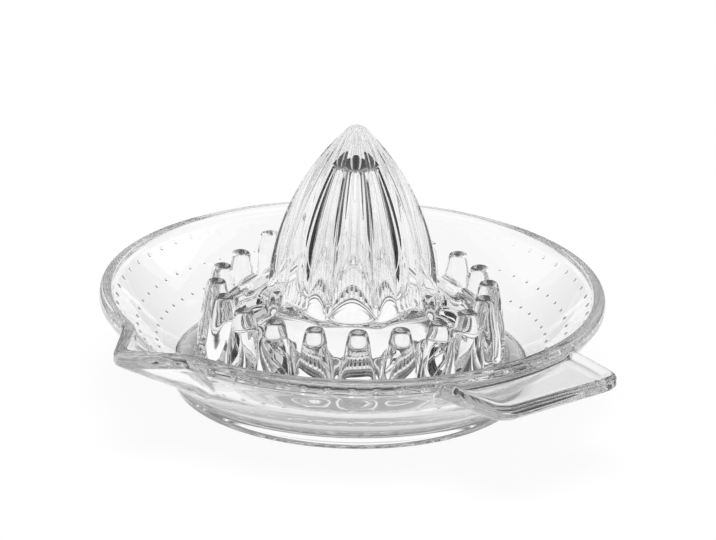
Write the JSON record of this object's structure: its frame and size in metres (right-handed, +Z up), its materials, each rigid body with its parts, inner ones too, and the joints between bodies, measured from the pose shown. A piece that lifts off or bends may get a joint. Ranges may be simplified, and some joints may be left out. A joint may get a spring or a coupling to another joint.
{
  "type": "glass citrus juicer",
  "caption": "Glass citrus juicer: a shallow dish with a ribbed reaming cone inside a ring of straining teeth, a flat tab handle and a pouring lip.",
  "frame": {"origin": "middle of the object's box, on the plane that its foot ring stands on", "axes": "+X towards the tab handle, -Y towards the pouring lip, +Z up the reaming cone"},
  "size_m": [0.1474, 0.141, 0.0703],
  "materials": {
    "glass": "clear pressed glass, fire polished"
  },
  "bodies": {
    "root": {"bowl_wall": "glass", "pouring_lip": "glass", "channel_floor": "glass", "foot_ring": "glass", "strainer_plateau": "glass", "reaming_cone": "glass", "handle": "glass", "straining_tooth_01": "glass", "straining_tooth_02": "glass", "straining_tooth_03": "glass", "straining_tooth_04": "glass", "straining_tooth_05": "glass", "straining_tooth_06": "glass", "straining_tooth_07": "glass", "straining_tooth_08": "glass", "straining_tooth_09": "glass", "straining_tooth_10": "glass", "straining_tooth_11": "glass", "straining_tooth_12": "glass", "straining_tooth_13": "glass", "straining_tooth_14": "glass", "straining_tooth_15": "glass", "straining_tooth_16": "glass", "straining_tooth_17": "glass", "straining_tooth_18": "glass", "straining_tooth_19": "glass", "straining_tooth_20": "glass"}
  },
  "joints": []
}
